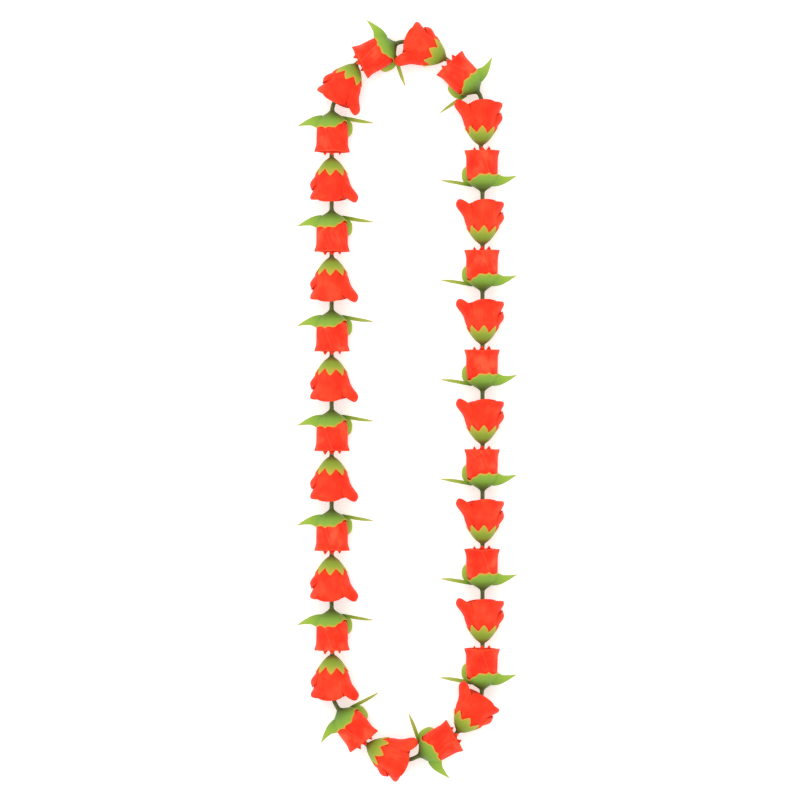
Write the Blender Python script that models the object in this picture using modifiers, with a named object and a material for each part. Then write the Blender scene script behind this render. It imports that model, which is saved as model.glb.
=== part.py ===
"""Fresh flower lei: rosebuds and open roses strung in turn on one thread, closed into a long loop.

Run with: blender --background --python part.py

Units are metres and +Z is up. The loop lies flat on the XY plane with its long way along Y, and the
origin is at its middle, on the surface it lies on. Seen from above the flowers' mouths all point
counterclockwise round the loop. Each flower is modelled in its own frame:
    x  towards the inside of the loop
    y  up, away from the surface it lies on
    z  along the flower's axis, from its calyx (z = 0) to its mouth
"""

import math

import bmesh
import bpy
from mathutils import Matrix, Vector

MM = 0.001

# The loop: two straight sides joined by two round bends.
LOOP_LENGTH = 1016 * MM  # 40 inches round, a usual lei
PAIRS = 16  # a rosebud and an open rose make one pair
BEND_RADIUS = 48.1 * MM
FIRST_BUD = 6.3 * MM  # from the top of the loop, counterclockwise, to the first bud's calyx
AXIS_HEIGHT = 12.3 * MM  # the flowers' axes above the surface
# How the flowers of the two bends settled: number along the loop, then how far each slid forward
# and inward in mm, and its turn in degrees, counterclockwise seen from above.
SETTLING = {
    29: (0, 0, -4),
    30: (0, 1, 6),
    31: (1.5, -1, -10),
    0: (0.5, -0.5, 4),
    13: (-0.5, -0.5, -4),
    14: (1.5, 0.5, 0),
    15: (1, -3, -10),
    16: (1.5, 0.5, 6),
    17: (2.5, 0, -6),
}

# Places along one pair, from the bud's calyx.
PAIR_PITCH = LOOP_LENGTH / PAIRS
BUD_LENGTH = 26.2 * MM
GAP_TO_ROSE = 3.5 * MM  # the rose's stem shows here
ROSE_LENGTH = 29.2 * MM

# Stems and thread.
STEM_RADIUS = 1.35 * MM
STEM_ROOT = 1.8 * MM  # how far a stem runs into its own calyx
STEM_SHARE = 0.74  # the part of the way from calyx to the next flower's seat that the stem covers
BUD_SEAT = 6.0 * MM  # depth in the bud's mouth where the thread is on its axis
ROSE_SEAT = 9.0 * MM
THREAD_RADIUS = 0.4 * MM
THREAD_GAP = 0.3 * MM
BORE_RADIUS = 0.85 * MM  # corner to axis, so its 6 flat sides still clear the thread
ROUTE_STEPS = 5  # straight pieces of the route in the gap between two flowers on a bend
STRAIGHT = 0.002  # two flowers whose axes differ by less, in radians, are in line
KNOT_HALF_LENGTH = 1.2 * MM
KNOT_RADIUS = 1.1 * MM
TAIL_LENGTH = 3.6 * MM

# How many sides the turned shapes have.
ROSE_SIDES = 16
BUD_SIDES = 12
STEM_BEVEL = 1  # a tube of 6 sides
THREAD_BEVEL = 2  # a tube of 8 sides
# The tubes are turned about their own lines, so that no edge of a stem, of the bore in it and of
# the calyx round it falls on another's.
STEM_TILT = math.radians(10)
BORE_TILT = math.radians(26)

# Turned profiles in mm as (radius, z), up the inner side and then down the outer side.
ROSE_PROFILE = (
    (0, 18.6), (5.4, 19.3), (9.7, 24.6), (11.4, 28.2), (12.3, 26.4),
    (11.9, 21.6), (11.3, 16.6), (9.9, 10.6), (7.2, 5.3), (4.4, 2.1), (0, -0.1),
)
BUD_PROFILE = (
    (0, 19.4), (2.9, 19.5), (4.9, 25.6), (6.8, 24.8), (11.2, 26.2),
    (10.2, 19.0), (9.9, 10.6), (8.5, 7.1), (6.3, 5.05), (0, 3.8),
)
CUP_PROFILE = (
    (0, 3.4), (6.6, 4.6), (8.9, 6.8), (10.3, 10.6), (11.3, 10.3),
    (10.0, 6.0), (6.9, 3.1), (2.2, 0.9), (0, 0),
)

# The open rose's curled petals: middle azimuth and half width in degrees, the height where the
# petal leaves the cup, the height where it stands out most, the height where it ends, how far out.
CURLED_PETALS = (
    (22, 40, 15.0, 26.4, 36.0, 5.4),
    (182, 46, 11.5, 16.6, 21.0, 1.5),
    (178, 46, 21.0, 26.4, 32.0, 1.1),
)
RIM_RISE = 0.9  # mm: the petals above and below stand further forward than those at the sides

# The bud's three inner petal tips that stand above its mouth: azimuth in degrees.
BUD_TIPS = (0, 90, 150)
BUD_TIP_RISE = 2.2  # mm

# The bud's sepals as flat outlines in mm.
BROAD_SEPAL = ((-7.6, 4.9), (-11.2, 3.2), (-22.0, 9.8), (-12.6, 9.2), (-10.3, 10.1), (-9.5, 7.2))
THIN_SEPAL = ((6.6, -1.2), (15.0, -1.6), (21.0, -1.4), (26.4, 0.2), (21.0, 1.4), (15.0, 1.6), (6.6, 1.2))
CURLED_SEPAL = ((9.2, 7.0), (11.9, 7.4), (13.3, 9.8), (13.2, 12.6), (11.6, 15.6), (10.8, 15.6), (10.3, 10.0))
LOWER_SEPAL = ((9.3, 7.0), (11.5, 7.6), (12.3, 9.6), (12.3, 11.4), (11.2, 13.4), (10.8, 13.4), (10.4, 10.0))
BROAD_THICKNESS = 0.9 * MM
THIN_THICKNESS = 1.6 * MM
CURLED_WIDTH = 6.0 * MM
LOWER_WIDTH = 4.4 * MM
BROAD_SEPAL_LIFT = 1.6 * MM
THIN_SEPAL_DROP = -3.0 * MM
THIN_SEPAL_START = 2.5 * MM
THIN_SEPAL_LEAN = 11.0  # degrees forward
CURLED_AZIMUTH = -42.0
LOWER_AZIMUTH = -90.0


def clear_scene():
    for obj in list(bpy.data.objects):
        bpy.data.objects.remove(obj)


def new_collection(name, helper=False):
    made = bpy.data.collections.new(name)
    bpy.context.scene.collection.children.link(made)
    made.hide_render = helper
    return made


def finish_of(name, colour, roughness):
    made = bpy.data.materials.new(name)
    made.use_nodes = True
    shader = made.node_tree.nodes["Principled BSDF"]
    shader.inputs["Base Color"].default_value = (*colour, 1)
    shader.inputs["Roughness"].default_value = roughness
    shader.inputs["Metallic"].default_value = 0
    return made


def evaluated_mesh(obj):
    """A mesh of the object as its modifiers or its bevel make it, with its loose seams welded."""
    bpy.context.view_layer.update()
    graph = bpy.context.evaluated_depsgraph_get()
    mesh = bpy.data.meshes.new_from_object(obj.evaluated_get(graph))
    shape = bmesh.new()
    shape.from_mesh(mesh)
    bmesh.ops.remove_doubles(shape, verts=shape.verts, dist=0.00001)
    shape.to_mesh(mesh)
    shape.free()
    return mesh


def mesh_and_remove(obj):
    mesh = evaluated_mesh(obj)
    bpy.data.objects.remove(obj)
    return mesh


def helper_object(name, data, collection):
    obj = bpy.data.objects.new(name, data)
    collection.objects.link(obj)
    obj.hide_render = True
    obj.display_type = "WIRE"
    return obj


# ---- the route of the loop -------------------------------------------------------------------


def loop_point(distance):
    """The point on the loop that far from its top, counterclockwise seen from above."""
    bend = math.pi * BEND_RADIUS
    side = (LOOP_LENGTH - 2 * bend) / 2
    along = (distance + bend / 2) % LOOP_LENGTH
    half_turn = along >= bend + side
    if half_turn:
        along -= bend + side
    if along < bend:
        angle = along / BEND_RADIUS
        point = Vector((BEND_RADIUS * math.cos(angle), side / 2 + BEND_RADIUS * math.sin(angle), 0))
    else:
        point = Vector((-BEND_RADIUS, side / 2 - (along - bend), 0))
    if half_turn:
        point = -point
    return point + Vector((0, 0, AXIS_HEIGHT))


class Flower:
    """One flower's place: a stiff bead whose two ends lie on the loop, give or take its settling."""

    def __init__(self, number, start, length, seat_depth):
        up = Vector((0, 0, 1))
        calyx_end = loop_point(start)
        mouth_end = loop_point(start + length)
        middle = (calyx_end + mouth_end) / 2
        forward = (mouth_end - calyx_end).normalized()
        slide_forward, slide_inward, turn = SETTLING.get(number, (0, 0, 0))
        middle += (forward * slide_forward + up.cross(forward) * slide_inward) * MM
        self.forward = Matrix.Rotation(math.radians(turn), 3, "Z") @ forward
        self.calyx = middle - self.forward * length / 2
        self.seat = self.calyx + self.forward * (length - seat_depth)
        inward = up.cross(self.forward)
        self.matrix = Matrix.Translation(self.calyx) @ Matrix((inward, up, self.forward)).transposed().to_4x4()


def place_flowers():
    """All flowers in order round the loop: bud, rose, bud, rose."""
    flowers = []
    for pair in range(PAIRS):
        start = FIRST_BUD + pair * PAIR_PITCH
        flowers.append(Flower(2 * pair, start, BUD_LENGTH, BUD_SEAT))
        rose_start = start + BUD_LENGTH + GAP_TO_ROSE
        flowers.append(Flower(2 * pair + 1, rose_start, ROSE_LENGTH, ROSE_SEAT))
    return flowers


def link_point(behind, ahead, share):
    """A point on the smooth curve from the seat of one flower to the calyx of the next."""
    reach = (ahead.calyx - behind.seat).length * 0.38
    a, b = behind.seat, behind.seat + behind.forward * reach
    c, d = ahead.calyx - ahead.forward * reach, ahead.calyx
    rest = 1 - share
    return a * rest**3 + b * 3 * rest**2 * share + c * 3 * rest * share**2 + d * share**3


def link_is_straight(behind, ahead):
    return behind.forward.angle(ahead.forward) < STRAIGHT


def link_points(behind, ahead, start):
    """Points along the link, from that share of it to its end, only as close as its bend needs."""
    steps = 1 if link_is_straight(behind, ahead) else ROUTE_STEPS
    return [link_point(behind, ahead, start + (1 - start) * step / steps) for step in range(steps + 1)]


def thread_route(flowers, first_share):
    """Points of the thread, from first_share of the first link, once round to the last seat."""
    points = link_points(flowers[-1], flowers[0], first_share)
    for behind, ahead in zip(flowers, flowers[1:]):
        if not link_is_straight(behind, ahead):
            points += link_points(behind, ahead, 0)
    return points + [flowers[-1].seat]


# ---- tubes, turned shapes and flat outlines ----------------------------------------------------


def tube(name, points, radius, bevel, collection, tilt=0, closed=False):
    """A round tube through the points, as a curve object."""
    curve = bpy.data.curves.new(name, "CURVE")
    curve.dimensions = "3D"
    curve.twist_mode = "Z_UP"
    curve.bevel_depth = radius
    curve.bevel_resolution = bevel
    curve.use_fill_caps = not closed
    line = curve.splines.new("POLY")
    line.points.add(len(points) - 1)
    for spot, point in zip(line.points, points):
        spot.co = (*point, 1)
        spot.tilt = tilt
    line.use_cyclic_u = closed
    obj = bpy.data.objects.new(name, curve)
    collection.objects.link(obj)
    return obj


def turned(name, profile, sides, collection):
    """A mesh turned about z from a profile of (radius, z) in mm that starts and ends on the axis."""
    mesh = bpy.data.meshes.new(name)
    points = [Vector((radius * MM, 0, height * MM)) for radius, height in profile]
    mesh.from_pydata(points, [(i, i + 1) for i in range(len(points) - 1)], [])
    obj = bpy.data.objects.new(name, mesh)
    collection.objects.link(obj)
    screw = obj.modifiers.new("turn", "SCREW")
    screw.steps = sides
    screw.render_steps = sides
    screw.use_merge_vertices = True
    screw.merge_threshold = 0.00001
    return mesh_and_remove(obj)


def flat_outline(name, outline, thickness, collection):
    """A plate cut to an outline in mm, lying in its own xy plane."""
    curve = bpy.data.curves.new(name, "CURVE")
    curve.dimensions = "2D"
    curve.fill_mode = "BOTH"
    curve.extrude = thickness / 2
    line = curve.splines.new("POLY")
    line.points.add(len(outline) - 1)
    for spot, (x, y) in zip(line.points, outline):
        spot.co = (x * MM, y * MM, 0, 1)
    line.use_cyclic_u = True
    obj = bpy.data.objects.new(name, curve)
    collection.objects.link(obj)
    return mesh_and_remove(obj)


def add_boolean(obj, operation, other):
    modifier = obj.modifiers.new(operation.lower(), "BOOLEAN")
    modifier.operation = operation
    modifier.object = other


# ---- the three shapes that repeat ----------------------------------------------------------------


def bump(value, low, peak, high):
    """0 at low, 1 at peak, 0 at high, smooth between."""
    if not low < value < high:
        return 0.0
    share = (value - low) / (peak - low) if value < peak else (high - value) / (high - peak)
    return share * share * (3 - 2 * share)


def rose_mesh(helpers):
    """Open rose: petals, calyx and receptacle grown together, hollow at the mouth."""
    mesh = turned("open_rose", ROSE_PROFILE, ROSE_SIDES, helpers)
    for vertex in mesh.vertices:
        x, y, z = vertex.co / MM
        radius = math.hypot(x, y)
        if radius < 1:
            continue
        azimuth = math.degrees(math.atan2(y, x))
        out = 0.0
        for middle, half_width, low, peak, high, reach in CURLED_PETALS:
            off = (azimuth - middle + 180) % 360 - 180
            out += reach * bump(off, -half_width, 0, half_width) * bump(z, low, peak, high)
        rise = RIM_RISE * (y / radius) ** 2 * bump(z, 20, 28.2, 40)
        vertex.co = Vector((x * (1 + out / radius), y * (1 + out / radius), z + rise)) * MM
    return mesh


def bud_mesh(helpers):
    """The bud's petals, tightly wrapped, with a narrow pit where the next stem goes in."""
    mesh = turned("rosebud_petals", BUD_PROFILE, BUD_SIDES, helpers)
    for vertex in mesh.vertices:
        x, y, z = vertex.co / MM
        azimuth = math.degrees(math.atan2(y, x))
        on_tip_ring = abs(math.hypot(x, y) - 4.9) < 0.1
        if on_tip_ring and any(abs(azimuth - tip) < 1 for tip in BUD_TIPS):
            vertex.co.z += BUD_TIP_RISE * MM
    return mesh


def calyx_mesh(helpers):
    """The bud's calyx: a cup round the petals with its sepals joined on."""
    cup = helper_object("calyx_cup", turned("calyx_cup", CUP_PROFILE, BUD_SIDES, helpers), helpers)
    stand_up = Matrix.Rotation(math.pi / 2, 4, "X")  # an outline's y becomes the flower's z
    plates = (
        (BROAD_SEPAL, BROAD_THICKNESS, Matrix.Translation((0, BROAD_SEPAL_LIFT, 0)) @ stand_up),
        (
            THIN_SEPAL,
            THIN_THICKNESS,
            Matrix.Translation((0, THIN_SEPAL_DROP, THIN_SEPAL_START))
            @ Matrix.Rotation(math.radians(-THIN_SEPAL_LEAN), 4, "Y"),
        ),
        (CURLED_SEPAL, CURLED_WIDTH, Matrix.Rotation(math.radians(CURLED_AZIMUTH), 4, "Z") @ stand_up),
        (LOWER_SEPAL, LOWER_WIDTH, Matrix.Rotation(math.radians(LOWER_AZIMUTH), 4, "Z") @ stand_up),
    )
    for number, (outline, thickness, place) in enumerate(plates, 1):
        sepal = helper_object(f"sepal_{number}", flat_outline("sepal", outline, thickness, helpers), helpers)
        sepal.matrix_world = place
        add_boolean(cup, "UNION", sepal)
    return mesh_and_remove(cup)


def knot_mesh(place, helpers):
    """The knot that closes the thread: a small lump with two cut tails, standing across the mouth."""
    bpy.ops.mesh.primitive_uv_sphere_add(segments=8, ring_count=6, radius=1)
    lump = bpy.context.object
    lump.data.transform(Matrix.Diagonal((KNOT_RADIUS, KNOT_RADIUS, KNOT_HALF_LENGTH, 1)))
    lump.data.transform(place)
    for side in (-1, 1):
        foot = place @ Vector((side * 0.3 * KNOT_RADIUS, 0, 0))
        tip = place @ Vector((side * TAIL_LENGTH, TAIL_LENGTH * 0.5, side * 0.2 * MM))
        tail_tube = tube("tail", [foot, tip], THREAD_RADIUS, STEM_BEVEL, helpers)
        add_boolean(lump, "UNION", helper_object("cut_tail", mesh_and_remove(tail_tube), helpers))
    return mesh_and_remove(lump)


# ---- assembly --------------------------------------------------------------------------------------


def stem_points(behind, ahead):
    """From the stem's cut end in the flower behind, forward into its own calyx."""
    return link_points(behind, ahead, 1 - STEM_SHARE)[:-1] + [ahead.calyx + ahead.forward * STEM_ROOT]


def add_node(name, mesh, place, finish, collection):
    obj = bpy.data.objects.new(name, mesh.copy())
    obj.data.materials.clear()
    obj.data.materials.append(finish)
    obj.matrix_world = place
    obj.data.set_sharp_from_angle(angle=math.radians(50))
    collection.objects.link(obj)
    return obj


def build():
    clear_scene()
    lei = new_collection("fresh_flower_lei")
    helpers = new_collection("helpers", helper=True)
    petal_red = finish_of("rose_petals", (0.98, 0.055, 0.02), 0.5)
    calyx_green = finish_of("calyx_green", (0.23, 0.4, 0.047), 0.55)
    cotton = finish_of("cotton_thread", (0.75, 0.72, 0.62), 0.8)

    flowers = place_flowers()
    knot_ahead, knot_behind = flowers[0], flowers[-1]
    knot_share = (KNOT_HALF_LENGTH + THREAD_GAP) / (knot_ahead.calyx - knot_behind.seat).length
    knot_centre = link_point(knot_behind, knot_ahead, knot_share)

    closed_route = thread_route(flowers, 0)[:-1]
    bore_tube = tube("thread_bore", closed_route, BORE_RADIUS, STEM_BEVEL, helpers, BORE_TILT, closed=True)
    bore = helper_object("bore", mesh_and_remove(bore_tube), helpers)

    rose, bud, calyx = rose_mesh(helpers), bud_mesh(helpers), calyx_mesh(helpers)
    for index, flower in enumerate(flowers):
        number = index // 2 + 1
        points = stem_points(flowers[index - 1], flower)
        stem_mesh = mesh_and_remove(tube("stem", points, STEM_RADIUS, STEM_BEVEL, helpers, STEM_TILT))
        stem = helper_object(f"stem_{index}", stem_mesh, helpers)
        if index % 2 == 0:
            petals = add_node(f"rosebud_{number:02d}_petals", bud, flower.matrix, petal_red, lei)
            add_boolean(petals, "DIFFERENCE", bore)
            green = add_node(f"rosebud_{number:02d}_calyx", calyx, flower.matrix, calyx_green, lei)
        else:
            green = add_node(f"open_rose_{number:02d}", rose, flower.matrix, petal_red, lei)
        add_boolean(green, "UNION", stem)
        add_boolean(green, "DIFFERENCE", bore)

    thread = tube("thread", thread_route(flowers, 2 * knot_share), THREAD_RADIUS, THREAD_BEVEL, lei)
    thread.data.materials.append(cotton)
    knot_place = knot_behind.matrix.copy()
    knot_place.translation = knot_centre
    add_node("thread_knot", knot_mesh(knot_place, helpers), Matrix.Identity(4), cotton, lei)


build()
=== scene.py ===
# %% [markdown]
# # A fresh flower lei
#
# A lei is a garland of fresh flowers on one string. Here open roses and rosebuds take turns, each
# one's stem in the mouth of the flower behind it, and the closed loop has been laid out flat and
# long. The plain solids of the frame say where each flower lies; this script grows petals, sepals
# and stems round them.

# %% Load the frame
import math

import bpy
from mathutils import Matrix, Vector, noise


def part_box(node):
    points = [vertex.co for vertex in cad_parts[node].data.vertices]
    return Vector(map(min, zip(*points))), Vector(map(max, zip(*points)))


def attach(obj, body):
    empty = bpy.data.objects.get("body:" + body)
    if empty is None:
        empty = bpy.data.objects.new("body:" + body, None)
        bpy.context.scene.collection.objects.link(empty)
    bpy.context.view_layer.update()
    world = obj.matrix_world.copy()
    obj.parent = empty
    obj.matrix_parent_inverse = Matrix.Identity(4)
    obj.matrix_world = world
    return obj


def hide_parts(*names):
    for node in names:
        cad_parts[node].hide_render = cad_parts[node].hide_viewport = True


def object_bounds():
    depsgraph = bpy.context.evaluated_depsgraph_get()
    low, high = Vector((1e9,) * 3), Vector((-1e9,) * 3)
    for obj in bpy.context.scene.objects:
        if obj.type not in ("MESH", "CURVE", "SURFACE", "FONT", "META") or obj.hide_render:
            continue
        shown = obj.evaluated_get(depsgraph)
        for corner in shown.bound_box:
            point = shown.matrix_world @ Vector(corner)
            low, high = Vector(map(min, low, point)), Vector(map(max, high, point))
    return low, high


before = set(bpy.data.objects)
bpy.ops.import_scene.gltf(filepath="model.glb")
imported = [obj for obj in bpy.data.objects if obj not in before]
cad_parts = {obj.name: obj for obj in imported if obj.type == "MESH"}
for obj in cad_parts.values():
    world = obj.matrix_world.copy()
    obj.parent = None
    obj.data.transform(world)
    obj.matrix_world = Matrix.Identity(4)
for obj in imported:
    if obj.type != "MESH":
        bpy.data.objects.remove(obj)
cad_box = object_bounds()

MM = 0.001
LOW, HIGH = (Vector(corner) for corner in cad_box)
print("the frame is", [round(side / MM, 1) for side in HIGH - LOW], "mm")

# %% [markdown]
# ## Where each flower lies
#
# The flowers are stiff beads on a string, so each one's two ends lie on the string's line: two
# straight sides joined by two round bends. In the bends the flowers have settled a little off that
# line. The rule is written out here with the lei's own sizes, and the next cell checks it against
# the frame. A flower has its own frame, in which it is modelled once: x towards the inside of the
# loop, y up, and z forward from its calyx to its mouth.

# %% The layout
LOOP_LENGTH = 1016 * MM  # 40 inches round
PAIRS = 16  # a rosebud and an open rose
BEND_RADIUS = 48.1 * MM
FIRST_BUD = 6.3 * MM
AXIS_HEIGHT = 12.3 * MM
BUD_LENGTH, GAP_TO_ROSE, ROSE_LENGTH = 26.2 * MM, 3.5 * MM, 29.2 * MM
BUD_SEAT, ROSE_SEAT = 6.0 * MM, 9.0 * MM  # where the string leaves the flower's axis, below its rim
SETTLING = {  # flower: slid forward mm, slid inward mm, turned degrees
    29: (0, 0, -4),
    30: (0, 1, 6),
    31: (1.5, -1, -10),
    0: (0.5, -0.5, 4),
    13: (-0.5, -0.5, -4),
    14: (1.5, 0.5, 0),
    15: (1, -3, -10),
    16: (1.5, 0.5, 6),
    17: (2.5, 0, -6),
}
UP = Vector((0, 0, 1))


def loop_point(distance):
    """The point on the loop that far from its top, counterclockwise seen from above."""
    bend = math.pi * BEND_RADIUS
    side = (LOOP_LENGTH - 2 * bend) / 2
    along = (distance + bend / 2) % LOOP_LENGTH
    second_half = along >= bend + side
    along -= (bend + side) * second_half
    if along < bend:
        angle = along / BEND_RADIUS
        point = Vector((BEND_RADIUS * math.cos(angle), side / 2 + BEND_RADIUS * math.sin(angle), 0))
    else:
        point = Vector((-BEND_RADIUS, side / 2 - (along - bend), 0))
    return (-point if second_half else point) + UP * AXIS_HEIGHT


class Flower:
    """One flower's place on the loop."""

    def __init__(self, number, start, length, seat_depth):
        calyx_end, mouth_end = loop_point(start), loop_point(start + length)
        forward = (mouth_end - calyx_end).normalized()
        slide_forward, slide_inward, turn = SETTLING.get(number, (0, 0, 0))
        middle = (calyx_end + mouth_end) / 2
        middle += (forward * slide_forward + UP.cross(forward) * slide_inward) * MM
        self.forward = Matrix.Rotation(math.radians(turn), 3, "Z") @ forward
        self.calyx = middle - self.forward * length / 2
        self.seat = self.calyx + self.forward * (length - seat_depth)
        axes = Matrix((UP.cross(self.forward), UP, self.forward)).transposed()
        self.matrix = Matrix.Translation(self.calyx) @ axes.to_4x4()


flowers = []
for pair in range(PAIRS):
    bud_start = FIRST_BUD + pair * LOOP_LENGTH / PAIRS
    flowers.append(Flower(2 * pair, bud_start, BUD_LENGTH, BUD_SEAT))
    flowers.append(Flower(2 * pair + 1, bud_start + BUD_LENGTH + GAP_TO_ROSE, ROSE_LENGTH, ROSE_SEAT))

# %% Check the layout against the frame
HALF_A_FLOWER = 13 * MM

worst = 0
for index, flower in enumerate(flowers):
    number = f"{index // 2 + 1:02d}"
    node = f"open_rose_{number}" if index % 2 else f"rosebud_{number}_petals"
    low, high = (Vector(corner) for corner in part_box(node))
    middle = flower.calyx + flower.forward * HALF_A_FLOWER
    worst = max(worst, (middle.xy - ((low + high) / 2).xy).length)
print("the flowers' middles are within", round(worst / MM, 1), "mm of their solids' middles")

# %% [markdown]
# ## Tools for thin sheets
#
# A petal or a sepal is a thin curved sheet, and its shape is easiest to say as a rule: how far out
# the sheet stands at each place across and along it. So each one starts as a grid, added with an
# operator, and its points are laid on that rule. Solidify then gives it the thickness of a real
# petal, and Subdivision Surface rounds it. The grid's own UV map stays on it: u runs across the
# sheet and v from its foot to its tip, which is how the veins of a petal run.


# %% Sheet tools
MERGE_DISTANCE = 0.01 * MM


def deselect_all():
    bpy.ops.object.select_all(action="DESELECT")


def smooth(value):
    """0 below 0, 1 above 1, and an even slope between."""
    value = min(max(value, 0), 1)
    return value * value * (3 - 2 * value)


def bump(value, low, peak, high):
    """Rises from 0 at low to 1 at peak and falls to 0 at high."""
    if value < peak:
        return smooth((value - low) / (peak - low))
    return smooth((high - value) / (high - peak))


def along_line(value, stops):
    """The value read off a line of straight pieces through (place, value) stops."""
    for (start, low), (end, high) in zip(stops, stops[1:]):
        if value <= end:
            share = max(0, (value - start) / (end - start))
            return low + (high - low) * share
    return stops[-1][1]


def around(azimuth, radius, height):
    """A point in the flower's frame from its azimuth in degrees, radius and height in mm."""
    angle = math.radians(azimuth)
    return Vector((radius * math.cos(angle), radius * math.sin(angle), height))


def sheet(columns, rows, surface, thickness, closed=False):
    """A thin sheet on surface(across, along): across -1 to 1, along 0 to 1. Closed goes all round."""
    deselect_all()
    bpy.ops.mesh.primitive_grid_add(x_subdivisions=columns, y_subdivisions=rows, size=2)
    made = bpy.context.object
    for vertex in made.data.vertices:
        vertex.co = surface(vertex.co.x, (vertex.co.y + 1) / 2) * MM
    if closed:
        bpy.ops.object.mode_set(mode="EDIT")
        bpy.ops.mesh.select_all(action="SELECT")
        bpy.ops.mesh.remove_doubles(threshold=MERGE_DISTANCE)
        bpy.ops.object.mode_set(mode="OBJECT")
    wall = made.modifiers.new("thickness", "SOLIDIFY")
    wall.thickness = thickness * MM
    wall.offset = -1
    rounded = made.modifiers.new("rounding", "SUBSURF")
    rounded.levels = rounded.render_levels = 1
    bpy.ops.object.modifier_apply(modifier="thickness")
    bpy.ops.object.modifier_apply(modifier="rounding")
    bpy.ops.object.shade_smooth()
    return made


def join(name, parts):
    """One object from several, under a new name."""
    deselect_all()
    for part in parts:
        part.select_set(True)
    bpy.context.view_layer.objects.active = parts[0]
    bpy.ops.object.join()
    parts[0].name = name
    print(name, "has", len(parts[0].data.polygons), "faces")
    return parts[0]


# %% [markdown]
# ## The open rose's petals
#
# An open rose is a bell of broad petals, each overlapping the next. Its rim isn't even: one petal on
# the inner side has let go and stands out as a big round lobe, one on the outer side has a rolled
# rim, and a shorter one bulges behind it. Each petal is the same kind of sheet with its own width,
# rim and reach. Inside, smaller petals stand in rings round the middle and leave room there for the
# next flower's stem.

# %% Open rose petals
ROSE_BELL = (  # height and radius
    (0, 1.0), (2.2, 4.2), (5.1, 6.5), (7.4, 8.1), (10.6, 10.0),
    (14.1, 11.0), (16.8, 11.4), (21, 11.6), (25, 12.0), (30, 12.2),
)
PETAL_FOOT = 2.5
WHORL_FOOT = 12
PETAL_THICKNESS = 0.45


def ripple(azimuth, height, size):
    """The slight unevenness of a grown petal."""
    return size * noise.noise(Vector((math.cos(math.radians(azimuth)) * 2, azimuth / 40, height / 6)))


def rose_petal(middle, half_width, rim, tilt, drop, lift, swell):
    """One outer petal. swell(height) is how far its middle stands out from the bell."""

    def surface(across, along):
        azimuth = middle + across * half_width * (0.7 + 0.3 * smooth(along / 0.5))
        top = rim + tilt * across - drop * abs(across) ** 2.4
        height = PETAL_FOOT + (top - PETAL_FOOT) * along
        radius = along_line(height, ROSE_BELL) + lift * smooth((height - 9) / 6)
        radius += swell(height) * (1 - across**2) + ripple(azimuth, height, 0.35) * along
        lip = smooth((along - 0.9) / 0.1)
        return around(azimuth, radius + 0.35 * lip, height - 0.15 * lip)

    return surface


def whorl_petal(middle, half_width, radius, rim, lean):
    """A petal of the rings inside the mouth."""

    def surface(across, along):
        height = WHORL_FOOT + (rim - 1.6 * abs(across) ** 2.2 - WHORL_FOOT) * along
        azimuth = middle + across * half_width
        reach = radius * (0.62 + 0.38 * smooth(along * 1.4)) - lean * smooth((along - 0.7) / 0.3)
        return around(azimuth, reach + 0.5 * across + ripple(azimuth, height, 0.5), height)

    return surface


# middle and half width in degrees; the rim's height, tilt and drop to the sides; the lift off the bell
outer = [
    rose_petal(268, 60, 27.4, 0, 1.5, -0.3, lambda height: 0),
    rose_petal(100, 47, 28.6, 0, 2.8, 0.1, lambda height: 0.2 * smooth((height - 18) / 8)),
    rose_petal(152, 52, 27.3, -0.6, 1.4, 0.2, lambda height: 2.0 * bump(height, 20.6, 24.8, 28.6)),
    rose_petal(13, 43, 29.0, 0.6, 5.2, 0.3, lambda height: 5.3 * bump(height, 15.6, 25.4, 33)),
    rose_petal(188, 42, 20.9, 0, 3.2, 0.5, lambda height: 2.1 * bump(height, 11.3, 16.8, 22.6)),
]
rose_parts = [sheet(14, 14, surface, PETAL_THICKNESS) for surface in outer]
for radius, rim, start in ((9.6, 26.6, 30), (7.2, 25.8, 75), (4.9, 24.8, 10)):
    for middle in (start, start + 120, start + 240):
        whorl = whorl_petal(middle, 74, radius, rim, 0.12 * radius)
        rose_parts.append(sheet(9, 6, whorl, PETAL_THICKNESS))
rose_petals = join("rose_petals", rose_parts)

# %% [markdown]
# ## The open rose's calyx
#
# The calyx is the green cup that the petals grow from. On this rose it is a small cap that ends in
# eight sharp teeth. It is one sheet that goes all the way round, so its two side edges are merged,
# and its rim rises to each tooth and falls between.

# %% Open rose calyx
CAP_OUTSIDE = (  # height and radius
    (-0.6, 1.2), (0, 1.8), (0.9, 3.1), (2.2, 4.75),
    (5.1, 7.15), (7.4, 8.75), (10.6, 10.5), (13, 11.1),
)
CAP_FOOT = -0.6
LEAF_THICKNESS = 0.5
TEETH = 8
FIRST_TOOTH = 4  # degrees from the inner side


def cap_surface(across, along):
    azimuth = across * 180
    turns = (azimuth - FIRST_TOOTH) / 360 * TEETH
    tooth = abs(2 * (turns % 1) - 1)  # 1 at a tooth's tip, 0 between two
    which = round(turns) % TEETH  # no two teeth next to each other are quite alike
    top = 6.9 + (which % 3 - 1) * 0.45 + (4.7 + (which % 2) * 0.5) * tooth
    height = CAP_FOOT + (top - CAP_FOOT) * along
    lift = 0.25 * tooth * smooth((along - 0.7) / 0.3)
    return around(azimuth, along_line(height, CAP_OUTSIDE) + lift, height)


rose_calyx = join("rose_calyx", [sheet(TEETH * 10, 12, cap_surface, LEAF_THICKNESS, closed=True)])

# %% [markdown]
# ## The rosebud's petals
#
# The bud is still wrapped tight. Four petals wind round it, each one's edge lying slantwise over the
# next, and their rims turn out into two pointed corners, so the bud looks square from above. Three
# pointed tips of inner petals stand up round the stem that goes in.

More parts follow.
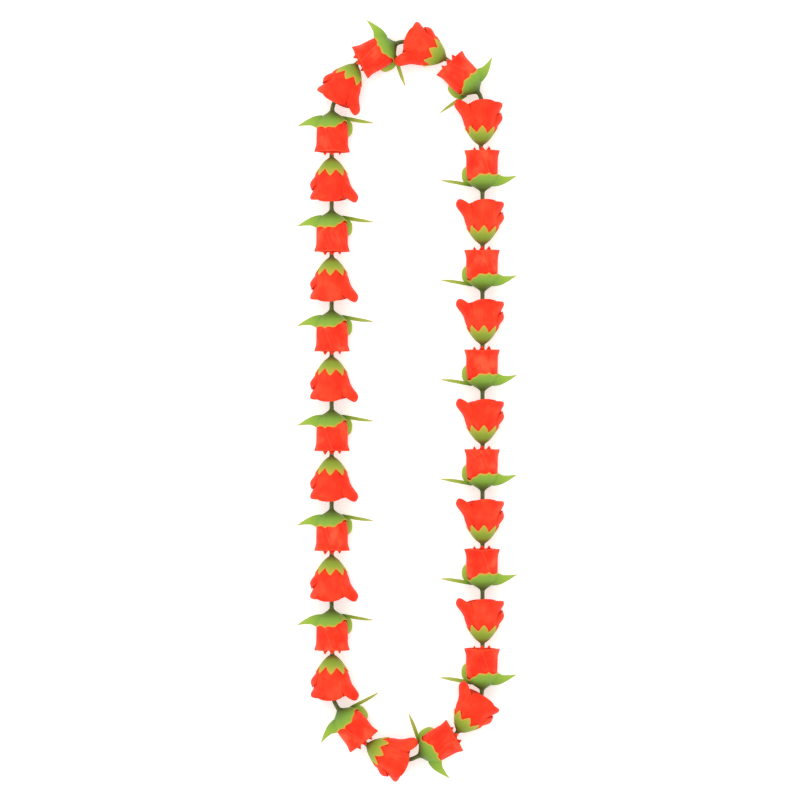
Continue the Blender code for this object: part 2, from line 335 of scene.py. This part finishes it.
# %% Rosebud petals
BUD_BODY = (  # height and radius
    (0, 1), (3.8, 4.6), (5.2, 7.4), (6.6, 8.9), (9, 9.4), (12, 9.6), (17, 9.75), (22, 9.8), (28, 9.9),
)
BUD_FOOT = 4.0
BUD_RIM = 26.1
TIP_FOOT = 15
CORNERS = ((3, 1.5), (177, 1.35))  # azimuth in degrees, how far out in mm


def bud_petal(middle, half_width, twist, lift):
    """One wrapped petal. twist is how far its edges slant, in degrees to the mm."""

    def surface(across, along):
        top = BUD_RIM - 0.5 * abs(across) ** 3
        height = BUD_FOOT + (top - BUD_FOOT) * along
        azimuth = middle + across * half_width + twist * (height - 15)
        radius = along_line(height, BUD_BODY) + lift * smooth((height - 6) / 4)
        for corner, out in CORNERS:
            off = abs((azimuth - corner + 180) % 360 - 180)
            radius += out * max(0, 1 - off / 17) ** 1.3 * smooth((height - 21.5) / 4.6)
        lip = smooth((along - 0.93) / 0.07) * 0.25
        return around(azimuth, radius + lip + ripple(azimuth, height, 0.3) * along, height)

    return surface


def pointed_tip(middle, half_width, radius, tip):
    """An inner petal that narrows to a point above the rim."""

    def surface(across, along):
        height = TIP_FOOT + (tip - TIP_FOOT - 3.8 * abs(across) ** 0.9) * along
        flare = 0.4 * smooth((along - 0.8) / 0.2)
        return around(middle + across * half_width, radius + flare, height)

    return surface


# middle and half width in degrees, slant, and how far the petal lies outside the bud's body
bud_parts = [
    sheet(14, 12, bud_petal(270, 66, -1.2, -0.1), PETAL_THICKNESS),
    sheet(14, 12, bud_petal(162, 66, -1.5, 0.1), PETAL_THICKNESS),
    sheet(16, 12, bud_petal(50, 60, -2.1, 0.4), PETAL_THICKNESS),
    sheet(14, 12, bud_petal(-22, 61, -1.05, 0.7), PETAL_THICKNESS),
]
for azimuth, radius, tip in ((36, 6.4, 28.5), (86, 5.6, 28.9), (131, 6.1, 28.9)):
    bud_parts.append(sheet(6, 8, pointed_tip(azimuth, 27, radius, tip), PETAL_THICKNESS))
for radius, rim, start in ((8.0, 25.0, 20), (4.4, 24.2, 70)):
    for middle in (start, start + 120, start + 240):
        whorl = whorl_petal(middle, 76, radius, rim, 0.1 * radius)
        bud_parts.append(sheet(8, 5, whorl, PETAL_THICKNESS))
bud_petals = join("bud_petals", bud_parts)

# %% [markdown]
# ## The rosebud's calyx and sepals
#
# Under the bud the calyx is a wide cup with long leafy lobes, the sepals. One is broad and lies out
# flat to the outer side. One is narrow and points to the inner side, turned nearly on its edge. Two
# more curl up behind the bud. The cup's own rim is wavy, low at the inner side where a petal shows
# over it.

# %% Rosebud cup and sepals
CUP_OUTSIDE = (  # height and radius
    (-0.9, 1.3), (0, 1.7), (0.9, 2.8), (2.4, 5.2), (3.4, 7.2),
    (4.8, 8.9), (6.6, 9.9), (9, 10.25), (13, 10.4),
)
CUP_FOOT = -0.9
CUP_RIM = (  # azimuth and height
    (0, 7.2), (20, 6.4), (37, 6.1), (52, 8.2), (67, 8.8), (77, 11.0), (90, 10.7), (105, 10.3),
    (113, 12.0), (121, 10.4), (131, 10.2), (150, 10.7), (166, 11.0), (185, 10.8), (205, 9.6),
    (222, 12.0), (240, 9.4), (262, 10.6), (285, 9.6), (305, 11.6), (325, 9.2), (360, 7.2),
)


def cup_surface(across, along):
    azimuth = (across * 180) % 360
    height = CUP_FOOT + (along_line(azimuth, CUP_RIM) - CUP_FOOT) * along
    lip = 0.15 * smooth((along - 0.8) / 0.2)
    return around(azimuth, along_line(height, CUP_OUTSIDE) + lip, height)


def broad_sepal(across, along):
    """Lies out to the outer side, broad at the cup and drawn to a point."""
    x = -6.2 - 15.8 * along
    middle = along_line(along, ((0, 6.6), (0.25, 6.9), (0.42, 6.7), (0.7, 7.9), (1, 9.8)))
    half = along_line(along, ((0, 3.9), (0.25, 3.7), (0.42, 2.6), (0.7, 1.4), (1, 0.06)))
    arch = 4.6 - 3.9 * smooth(along * 1.3) + 1.0 * along - 0.35 * abs(across) * (1 - along)
    return Vector((x, arch - 0.5 * across * across * (1 - along), middle + half * across))


def thin_sepal(across, along):
    """Turned nearly on its edge, points to the inner side, cupped like a folded leaf."""
    x = 6.4 + 20 * along
    half = along_line(along, ((0, 1.3), (0.3, 1.9), (0.7, 1.7), (1, 0.08)))
    z = 3.9 + 3.3 * along + 0.3 * math.sin(math.pi * along) + 0.55 * half * across
    cupping = 0.5 * (1 - across * across) * (1 - 0.6 * along)
    return Vector((x, -2.6 - 0.8 * half * across + 0.6 * along, z - cupping))


def lower_sepal(across, along):
    """Rises from the cup under the bud and bellies out on to the surface."""
    height = 5.0 + 8.6 * along
    out = along_line(height, ((5.0, 9.3), (7, 11.3), (9, 12.2), (11, 12.1), (13.6, 11.0)))
    width = 26 * (1 - along**2.2) + 0.4
    return around(-94 + across * width, out - 0.35 * across * across, height - 0.4 * abs(across))


def turned_sepal(across, along):
    """Curls round behind the bud with its face turned up."""
    height = 5.2 + 10.7 * along
    edge = ((5.2, 10.6), (6.5, 12.0), (8.5, 12.9), (11.6, 13.0), (14, 12.4), (15.9, 10.4))
    share = (across + 1) / 2
    x = 8.2 + (along_line(height, edge) - 8.2) * share
    return Vector((x, -3.2 - 2.4 * share**2 - 0.8 * along, height - 0.3 * (1 - share)))


calyx_parts = [
    sheet(72, 10, cup_surface, LEAF_THICKNESS, closed=True),
    sheet(8, 16, broad_sepal, LEAF_THICKNESS),
    sheet(6, 16, thin_sepal, LEAF_THICKNESS),
    sheet(8, 14, turned_sepal, LEAF_THICKNESS),
    sheet(8, 10, lower_sepal, LEAF_THICKNESS),
]
bud_calyx = join("bud_calyx", calyx_parts)

# %% [markdown]
# ## A growth map for the green parts
#
# Both calyxes are dark and olive where the stem joins and turn yellow-green towards their tips. The
# flowers point every way round the loop, so that colour can't be read from the object's own axes.
# Each green sheet gets a second UV map that says how far each point is from the stem.

# %% Growth map
GROWTH = "growth"
REACH = 26 * MM  # about as far as the longest sepal's tip is from the stem's end


def add_growth_map(obj):
    """u is the distance from the calyx's foot as a share of REACH, v the azimuth."""
    layer = obj.data.uv_layers.new(name=GROWTH)
    for loop in obj.data.loops:
        spot = obj.data.vertices[loop.vertex_index].co
        turn = math.atan2(spot.y, spot.x) / (2 * math.pi) + 0.5
        layer.data[loop.index].uv = (spot.length / REACH, turn)


for part in (rose_calyx, bud_calyx):
    add_growth_map(part)
    print(part.name, "has the maps", [layer.name for layer in part.data.uv_layers])

# %% [markdown]
# ## Helpers for the finishes
#
# One function turns a hex colour to the linear values that Blender's shaders use. One adds a node.
# Veins, ribs and strands all stand out by the same fifth of a millimetre, and only the strength of
# that relief differs.


# %% Finish helpers
RELIEF = 0.2 * MM


def linear(code):
    """A hex sRGB colour as linear RGBA."""
    values = [int(code[place : place + 2], 16) / 255 for place in (0, 2, 4)]
    return [v / 12.92 if v <= 0.04045 else ((v + 0.055) / 1.055) ** 2.4 for v in values] + [1]


def add(tree, kind, values=(), links=(), stops=(), **settings):
    """Adds a node: its settings, its inputs' values and links, and a ramp's (place, hex) stops."""
    node = tree.nodes.new(kind)
    for name, value in settings.items():
        setattr(node, name, value)
    for name, value in dict(values).items():
        node.inputs[name].default_value = value
    for name, socket in dict(links).items():
        tree.links.new(socket, node.inputs[name])
    for number, (place, code) in enumerate(stops):
        elements = node.color_ramp.elements
        element = elements[number] if number < 2 else elements.new(place)
        element.position = place
        element.color = linear(code)
    return node


def new_finish(name, specular, roughness=0.5):
    """A material, its node tree and its Principled shader."""
    finish = bpy.data.materials.new(name)
    finish.use_nodes = True
    shader = finish.node_tree.nodes["Principled BSDF"]
    shader.inputs["Roughness"].default_value = roughness
    shader.inputs["Specular IOR Level"].default_value = specular
    shader.inputs["IOR"].default_value = 1.4  # moist leaf, and near enough for cotton and card
    return finish, finish.node_tree, shader


# %% [markdown]
# ## Rose petal
#
# A fresh rose petal is soft and velvety: its skin is made of tiny cones, so it has hardly any gloss,
# and its colour is deep and even. Fine veins fan from its foot to its rim, about half a millimetre
# apart, and its thin rim and sides look paler. The veins follow the petal, so they are read from its
# own UV map. The bud's petals have the palest edges, which show where one lies over the next.


# %% Petal finishes
def petal_finish(name, body, deep, pale, edge):
    finish, tree, shader = new_finish(name, 0.2)
    uv = add(tree, "ShaderNodeUVMap", uv_map="UVMap")
    place = add(tree, "ShaderNodeSeparateXYZ", links={0: uv.outputs[0]})
    # 36 veins across a petal about 20 mm wide, and drawn out along it
    vein_space = add(tree, "ShaderNodeMapping", {"Scale": (36, 2.5, 1)}, {"Vector": uv.outputs[0]})
    veins = add(tree, "ShaderNodeTexNoise", {"Scale": 1, "Detail": 2}, {"Vector": vein_space.outputs[0]})
    solid = add(tree, "ShaderNodeTexCoord")
    # soft clouds of colour about 9 mm across
    clouds = add(
        tree, "ShaderNodeTexNoise", {"Scale": 110, "Detail": 2}, {"Vector": solid.outputs["Object"]}
    )
    tone = add(tree, "ShaderNodeMath", {1: 0.35}, {0: veins.outputs[0]}, operation="MULTIPLY")
    tone = add(tree, "ShaderNodeMath", links={0: tone.outputs[0], 1: clouds.outputs[0]}, operation="ADD")
    shades = ((0.42, deep), (0.66, body), (0.9, pale))
    colour = add(tree, "ShaderNodeValToRGB", links={0: tone.outputs[0]}, stops=shades)
    # the two side edges and the rim, each as a band that fades inwards
    side = add(tree, "ShaderNodeMath", {1: 0.5}, {0: place.outputs["X"]}, operation="SUBTRACT")
    side = add(tree, "ShaderNodeMath", links={0: side.outputs[0]}, operation="ABSOLUTE")
    side = add(
        tree, "ShaderNodeMapRange", {"From Min": 0.465, "From Max": 0.5}, {"Value": side.outputs[0]}
    )
    rim = add(tree, "ShaderNodeMapRange", {"From Min": 0.95}, {"Value": place.outputs["Y"]})
    both = {0: side.outputs[0], 1: rim.outputs[0]}
    band = add(tree, "ShaderNodeMath", links=both, operation="MAXIMUM")
    band = add(tree, "ShaderNodeMath", {1: edge}, {0: band.outputs[0]}, operation="MULTIPLY")
    layers = {0: band.outputs[0], 6: colour.outputs[0]}
    mixed = add(tree, "ShaderNodeMix", {7: linear(pale)}, layers, data_type="RGBA")
    tree.links.new(mixed.outputs[2], shader.inputs["Base Color"])
    depth = {"Strength": 0.25, "Distance": RELIEF}
    relief = add(tree, "ShaderNodeBump", depth, {"Height": veins.outputs[0]})
    tree.links.new(relief.outputs[0], shader.inputs["Normal"])
    gloss = add(tree, "ShaderNodeMapRange", {"To Min": 0.5, "To Max": 0.7}, {"Value": clouds.outputs[0]})
    tree.links.new(gloss.outputs[0], shader.inputs["Roughness"])
    return finish


rose_velvet = petal_finish("fresh rose petal, velvety orange-red", "F83A1C", "F12C15", "FF4C2C", 0.3)
bud_velvet = petal_finish("fresh bud petal, smooth orange-red", "F8391C", "F02A14", "FF5A38", 0.8)
print("petals:", rose_velvet.name, "and", bud_velvet.name)

# %% [markdown]
# ## Calyx green
#
# A calyx is a leaf: waxy, a little glossy, with fine ribs that run out from the stem. It is dark olive
# round the stem, fresh green over the cup and yellow-green towards its tips, where a thin edge has
# dried to yellow.


# %% Calyx finishes
def calyx_finish(name, stops):
    finish, tree, shader = new_finish(name, 0.25)
    uv = add(tree, "ShaderNodeUVMap", uv_map=GROWTH)
    place = add(tree, "ShaderNodeSeparateXYZ", links={0: uv.outputs[0]})
    # ribs about 1 mm apart round a cup that is 60 mm round, drawn out from the stem to the tips
    rib_space = add(tree, "ShaderNodeMapping", {"Scale": (3, 60, 1)}, {"Vector": uv.outputs[0]})
    ribs = add(tree, "ShaderNodeTexNoise", {"Scale": 1, "Detail": 2}, {"Vector": rib_space.outputs[0]})
    solid = add(tree, "ShaderNodeTexCoord")
    # blotches about 4 mm across
    blotches = add(
        tree, "ShaderNodeTexNoise", {"Scale": 260, "Detail": 3}, {"Vector": solid.outputs["Object"]}
    )
    # ribs and blotches push the colours along by up to 7 hundredths of the growth
    uneven = {0: ribs.outputs[0], 1: blotches.outputs[0]}
    shift = add(tree, "ShaderNodeMath", links=uneven, operation="ADD")
    shift = add(
        tree,
        "ShaderNodeMapRange",
        {"From Max": 2, "To Min": -0.07, "To Max": 0.07},
        {"Value": shift.outputs[0]},
    )
    growth = {0: place.outputs["X"], 1: shift.outputs[0]}
    growth = add(tree, "ShaderNodeMath", links=growth, operation="ADD")
    colour = add(tree, "ShaderNodeValToRGB", links={0: growth.outputs[0]}, stops=stops)
    sheet_uv = add(tree, "ShaderNodeUVMap", uv_map="UVMap")
    sheet_place = add(tree, "ShaderNodeSeparateXYZ", links={0: sheet_uv.outputs[0]})
    dried = add(
        tree,
        "ShaderNodeMapRange",
        {"From Min": 0.87, "From Max": 0.98, "To Max": 0.85},
        {"Value": sheet_place.outputs["Y"]},
    )
    layers = {0: dried.outputs[0], 6: colour.outputs[0]}
    mixed = add(tree, "ShaderNodeMix", {7: linear("E2A93C")}, layers, data_type="RGBA")
    tree.links.new(mixed.outputs[2], shader.inputs["Base Color"])
    depth = {"Strength": 0.35, "Distance": RELIEF}
    relief = add(tree, "ShaderNodeBump", depth, {"Height": ribs.outputs[0]})
    tree.links.new(relief.outputs[0], shader.inputs["Normal"])
    gloss = add(tree, "ShaderNodeMapRange", {"To Min": 0.4, "To Max": 0.6}, {"Value": blotches.outputs[0]})
    tree.links.new(gloss.outputs[0], shader.inputs["Roughness"])
    return finish


bud_green = calyx_finish(
    "rosebud calyx, waxy leaf green",
    (
        (0.0, "4F5A2A"), (0.1, "5B7536"), (0.22, "6C9640"),
        (0.42, "7FA53B"), (0.62, "98B93E"), (1.0, "AFC861"),
    ),
)
rose_green = calyx_finish(
    "rose calyx, waxy olive green",
    (
        (0.0, "6E6A30"), (0.1, "85833A"), (0.22, "8FA43C"),
        (0.36, "93AC3A"), (0.5, "B3B13E"), (1.0, "C9B046"),
    ),
)
print("calyxes:", bud_green.name, "and", rose_green.name)

# %% [markdown]
# ## Stem
#
# A rose's stem is a tough stalk, dark olive and mottled, with fine lengthwise ribs.

# %% Stem finish
stem_bark, tree, shader = new_finish("rose stem, ribbed dark olive", 0.25, 0.55)
solid = add(tree, "ShaderNodeTexCoord")
# spots about 1.5 mm across
mottle = add(
    tree, "ShaderNodeTexNoise", {"Scale": 700, "Detail": 3}, {"Vector": solid.outputs["Object"]}
)
uv = add(tree, "ShaderNodeUVMap", uv_map="UVMap")
# 11 ribs round a stem that is 8 mm round
rib_space = add(tree, "ShaderNodeMapping", {"Scale": (2, 11, 1)}, {"Vector": uv.outputs[0]})
ribs = add(tree, "ShaderNodeTexNoise", {"Scale": 1, "Detail": 1}, {"Vector": rib_space.outputs[0]})
both = {0: mottle.outputs[0], 1: ribs.outputs[0]}
tone = add(tree, "ShaderNodeMath", links=both, operation="ADD")
tone = add(tree, "ShaderNodeMath", {1: 0.5}, {0: tone.outputs[0]}, operation="MULTIPLY")
olives = ((0.35, "48552A"), (0.5, "5E6B36"), (0.7, "7E8C50"))
colour = add(tree, "ShaderNodeValToRGB", links={0: tone.outputs[0]}, stops=olives)
tree.links.new(colour.outputs[0], shader.inputs["Base Color"])
depth = {"Strength": 0.5, "Distance": RELIEF}
relief = add(tree, "ShaderNodeBump", depth, {"Height": ribs.outputs[0]})
tree.links.new(relief.outputs[0], shader.inputs["Normal"])
print("stems:", stem_bark.name)

# %% [markdown]
# ## The stems
#
# Each stem starts in the mouth of the flower behind and curves into its own calyx, so in the bends no
# two are quite alike. A curve with a round bevel is the natural way to make one, since its radius can
# grow where it meets the calyx. It becomes a mesh at once, with its caps merged, so that it is closed.

# %% Stem tubes
STEM_RADIUS = 1.35
STEM_SHARE = 0.74  # of the way from one flower's seat to the next calyx
STEM_STEPS = 12
STEM_ROOT = 0.9 * MM  # inside the calyx


def link_point(behind, ahead, share):
    """A point on the smooth curve from the seat of one flower to the calyx of the next."""
    reach = (ahead.calyx - behind.seat).length * 0.38
    a, b = behind.seat, behind.seat + behind.forward * reach
    c, d = ahead.calyx - ahead.forward * reach, ahead.calyx
    rest = 1 - share
    return a * rest**3 + b * 3 * rest**2 * share + c * 3 * rest * share**2 + d * share**3


def tube(name, points, radii, sides_to_quarter=4):
    """A closed round tube through the points, as a mesh object."""
    curve = bpy.data.curves.new(name, "CURVE")
    curve.dimensions = "3D"
    curve.bevel_depth = MM
    curve.bevel_resolution = sides_to_quarter
    curve.use_fill_caps = True
    line = curve.splines.new("POLY")
    line.points.add(len(points) - 1)
    for spot, point, radius in zip(line.points, points, radii):
        spot.co = (*point, 1)
        spot.radius = radius
    made = bpy.data.objects.new(name, curve)
    bpy.context.scene.collection.objects.link(made)
    deselect_all()
    made.select_set(True)
    bpy.context.view_layer.objects.active = made
    bpy.ops.object.convert(target="MESH")
    made = bpy.context.object
    bpy.ops.object.mode_set(mode="EDIT")
    bpy.ops.mesh.select_all(action="SELECT")
    bpy.ops.mesh.remove_doubles(threshold=MERGE_DISTANCE)
    bpy.ops.mesh.normals_make_consistent(inside=False)
    bpy.ops.object.mode_set(mode="OBJECT")
    bpy.ops.object.shade_smooth()
    return made


def stem(name, behind, ahead):
    """A flower's stem, with a flare where it joins the calyx."""
    done = [step / STEM_STEPS for step in range(STEM_STEPS + 1)]
    points = [link_point(behind, ahead, 1 - STEM_SHARE * (1 - share)) for share in done]
    points.append(ahead.calyx + ahead.forward * STEM_ROOT)
    thickness = [0.88 + 0.12 * smooth(4 * share) for share in done[:-2]] + [1.06, 1.25, 1.5]
    return tube(name, points, [STEM_RADIUS * share for share in thickness])


# %% [markdown]
# ## All the flowers
#
# Each flower is a copy of the models above with its own mesh, moved to its place on the loop. The
# copy's place goes into its mesh, so every object stays at the origin. Each piece takes its finish
# and rides on the root body, and the solid of the frame that it stands for is hidden.


# %% Place the flowers
def declare(piece, finish, node):
    piece.data.materials.clear()
    piece.data.materials.append(finish)
    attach(piece, "root")
    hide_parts(node)


def placed_copy(model, name, matrix):
    mesh = model.data.copy()
    mesh.transform(matrix)
    copy = bpy.data.objects.new(name, mesh)
    bpy.context.scene.collection.objects.link(copy)
    return copy


for index, flower in enumerate(flowers):
    number = f"{index // 2 + 1:02d}"
    behind = flowers[index - 1]
    if index % 2:
        rose = f"open_rose_{number}"
        petals = placed_copy(rose_petals, f"{rose}_petals", flower.matrix)
        declare(petals, rose_velvet, rose)
        declare(placed_copy(rose_calyx, f"{rose}_cap", flower.matrix), rose_green, rose)
        declare(stem(f"{rose}_stem", behind, flower), stem_bark, rose)
    else:
        bud = f"rosebud_{number}"
        petals = placed_copy(bud_petals, f"{bud}_wrapped_petals", flower.matrix)
        declare(petals, bud_velvet, f"{bud}_petals")
        sepals = placed_copy(bud_calyx, f"{bud}_cup_and_sepals", flower.matrix)
        declare(sepals, bud_green, f"{bud}_calyx")
        declare(stem(f"{bud}_stem", behind, flower), stem_bark, f"{bud}_calyx")
for model in (rose_petals, rose_calyx, bud_petals, bud_calyx):
    bpy.data.objects.remove(model)
print(len(flowers), "flowers on the loop")

# %% [markdown]
# ## The string and its knot
#
# The string is plain twisted cotton, under a millimetre thick, and shows only inside the mouths. Its
# solid in the frame already has the right shape, so it keeps that and gets a cotton finish. The knot
# is an overhand knot, which is the curve called a trefoil, with its two cut ends.

# %% String and knot
cotton, tree, shader = new_finish("twisted cotton string", 0.2, 0.85)
solid = add(tree, "ShaderNodeTexCoord")
# strands about 0.3 mm wide
strands = add(
    tree,
    "ShaderNodeTexWave",
    {"Scale": 900, "Distortion": 1.5},
    {"Vector": solid.outputs["Object"]},
    bands_direction="DIAGONAL",
)
creams = ((0.1, "CFC8B4"), (0.9, "F1EDE0"))
colour = add(tree, "ShaderNodeValToRGB", links={0: strands.outputs[0]}, stops=creams)
tree.links.new(colour.outputs[0], shader.inputs["Base Color"])
depth = {"Strength": 0.6, "Distance": RELIEF}
relief = add(tree, "ShaderNodeBump", depth, {"Height": strands.outputs[0]})
tree.links.new(relief.outputs[0], shader.inputs["Normal"])
string = bpy.data.objects["thread"]
string.data.materials.clear()
string.data.materials.append(cotton)

STRING_RADIUS = 0.4
KNOT_AHEAD = 1.5 * MM  # of the last flower's seat
KNOT_SIZE = 0.36
KNOT_STEPS = 48
TAIL_ENDS = (Vector((-3.1, 1.5, 0.2)), Vector((3.1, 1.7, -0.2)))


def trefoil_point(step):
    turn = 2 * math.pi * step / KNOT_STEPS
    x = math.sin(turn) + 2 * math.sin(2 * turn)
    y = math.cos(turn) - 2 * math.cos(2 * turn)
    return Vector((x, y, -1.6 * math.sin(3 * turn))) * KNOT_SIZE


link = (flowers[0].calyx - flowers[-1].seat).length
knot_place = flowers[-1].matrix.copy()
knot_place.translation = link_point(flowers[-1], flowers[0], KNOT_AHEAD / link)
trefoil = [trefoil_point(step) for step in range(KNOT_STEPS - 2)]
knot_line = [knot_place @ (spot * MM) for spot in (TAIL_ENDS[0], *trefoil, TAIL_ENDS[1])]
knot = tube("string_knot", knot_line, [STRING_RADIUS] * len(knot_line), 2)
declare(knot, cotton, "thread_knot")
print("the knot is a tube through", len(knot_line), "points")

# %% [markdown]
# ## Surface, light and camera
#
# The lei lies on a plain white surface that glows a little, a painted glow in the surface itself that
# stands for light from below and takes out the shadows on it. The light is that of a white tent,
# bright from all sides, so that there is hardly a shadow, with one large soft lamp overhead for a
# little shape. The camera looks straight down through a long lens.

# %% Surface
deselect_all()
bpy.ops.mesh.primitive_plane_add(size=6, location=(0, 0, LOW.z))
surface = bpy.context.object
surface.name = "white_surface"
card, tree, shader = new_finish("matt white card with a painted glow", 0.1, 0.9)
solid = add(tree, "ShaderNodeTexCoord")
fibres = add(tree, "ShaderNodeTexNoise", {"Scale": 400, "Detail": 2}, {"Vector": solid.outputs["Object"]})
whites = ((0.3, "FCFCFC"), (0.7, "FEFEFE"))
colour = add(tree, "ShaderNodeValToRGB", links={0: fibres.outputs[0]}, stops=whites)
tree.links.new(colour.outputs[0], shader.inputs["Base Color"])
# Painted glow: the card gives off light of its own, standing in for light from below, so that the shadows
# on it are painted out.
shader.inputs["Emission Color"].default_value = (1, 1, 1, 1)
shader.inputs["Emission Strength"].default_value = 0.35  # lit from below, so that it shows no shadows
surface.data.materials.append(card)
print("the surface is at height", LOW.z)

# %% Light
scene = bpy.context.scene
world = bpy.data.worlds.new("white tent")
world.use_nodes = True
world.node_tree.nodes["Background"].inputs["Color"].default_value = (1, 1, 1, 1)
world.node_tree.nodes["Background"].inputs["Strength"].default_value = 0.98
scene.world = world
lamp = bpy.data.lights.new("overhead softbox", "AREA")
lamp.size = 0.9
lamp.energy = 3
lamp_object = bpy.data.objects.new("overhead softbox", lamp)
lamp_object.location = (-0.25, 0.3, 1.1)
lamp_object.rotation_euler = (-lamp_object.location).to_track_quat("-Z", "Y").to_euler()
scene.collection.objects.link(lamp_object)
scene.view_settings.view_transform = "Standard"
print("the lamp is", round(lamp_object.location.length, 2), "m from the middle of the lei")

# %% Camera
FRAME_WIDTH = 510 * MM  # across, at the height of the flowers' axes
LENS = 200
SENSOR = 36
DISTANCE = FRAME_WIDTH * LENS / SENSOR
camera = bpy.data.cameras.new("camera")
camera.lens = LENS
camera.sensor_width = SENSOR
camera_object = bpy.data.objects.new("camera", camera)
camera_object.location = (-4.5 * MM, 0.2 * MM, AXIS_HEIGHT + DISTANCE)
scene.collection.objects.link(camera_object)
scene.camera = camera_object
print("the camera is", round(DISTANCE, 2), "m above the flowers")
